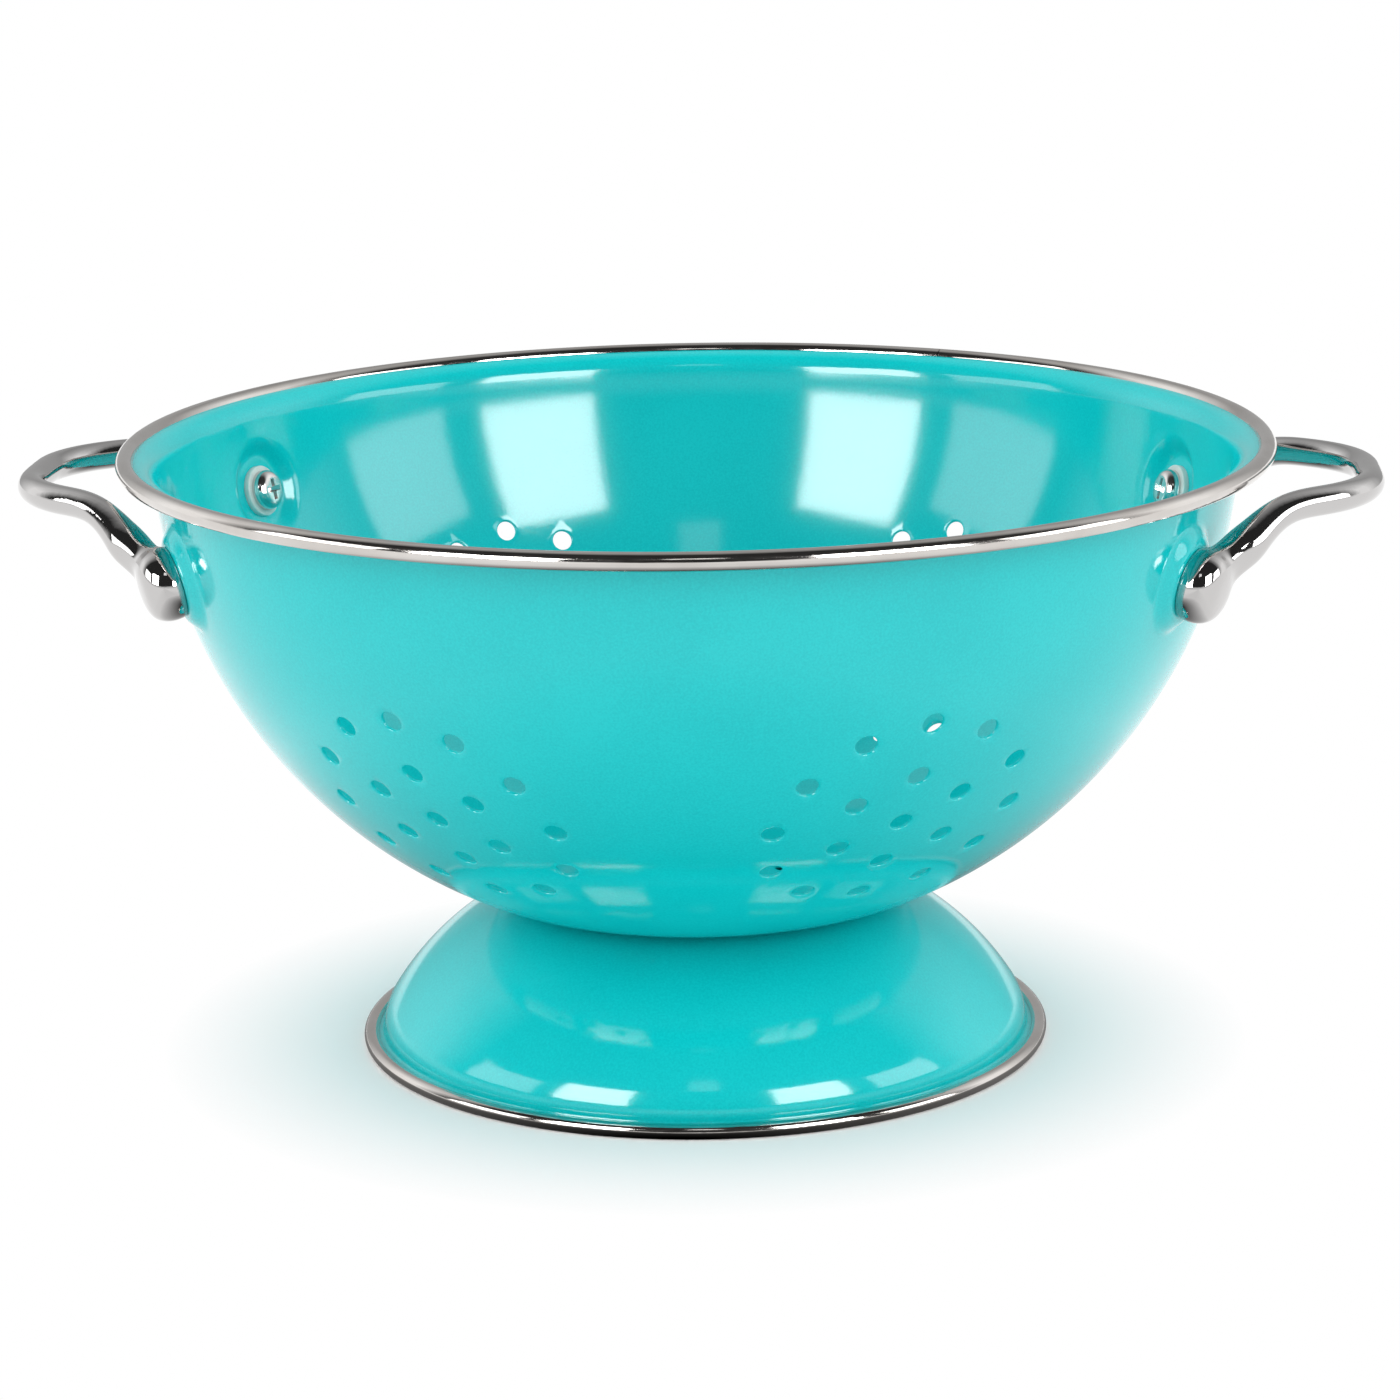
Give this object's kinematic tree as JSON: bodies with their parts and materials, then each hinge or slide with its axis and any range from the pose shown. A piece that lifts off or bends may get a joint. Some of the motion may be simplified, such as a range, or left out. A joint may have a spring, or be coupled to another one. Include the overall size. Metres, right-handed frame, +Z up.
{
  "type": "colander",
  "caption": "Round footed enamel colander with rolled steel edges, drain-hole clusters and cast loop handles screwed on from inside.",
  "frame": {"origin": "centre of the resting face under the foot", "axes": "+Z up out of the bowl's mouth; +X through the right handle; the front is towards -Y"},
  "size_m": [0.3314, 0.28, 0.1509],
  "materials": {
    "enamel": "glossy",
    "edge_steel": "satin",
    "polished_metal": "polished",
    "screw_steel": "polished",
    "washer_plastic": "translucent satin"
  },
  "bodies": {
    "root": {"bowl": "enamel", "bowl_rim_band": "edge_steel", "pedestal": "enamel", "pedestal_rim_band": "edge_steel", "handle_left": "polished_metal", "handle_right": "polished_metal", "screw_left_front": "screw_steel", "screw_left_back": "screw_steel", "screw_right_front": "screw_steel", "screw_right_back": "screw_steel", "washer_left_front": "washer_plastic", "washer_left_back": "washer_plastic", "washer_right_front": "washer_plastic", "washer_right_back": "washer_plastic"}
  },
  "joints": []
}
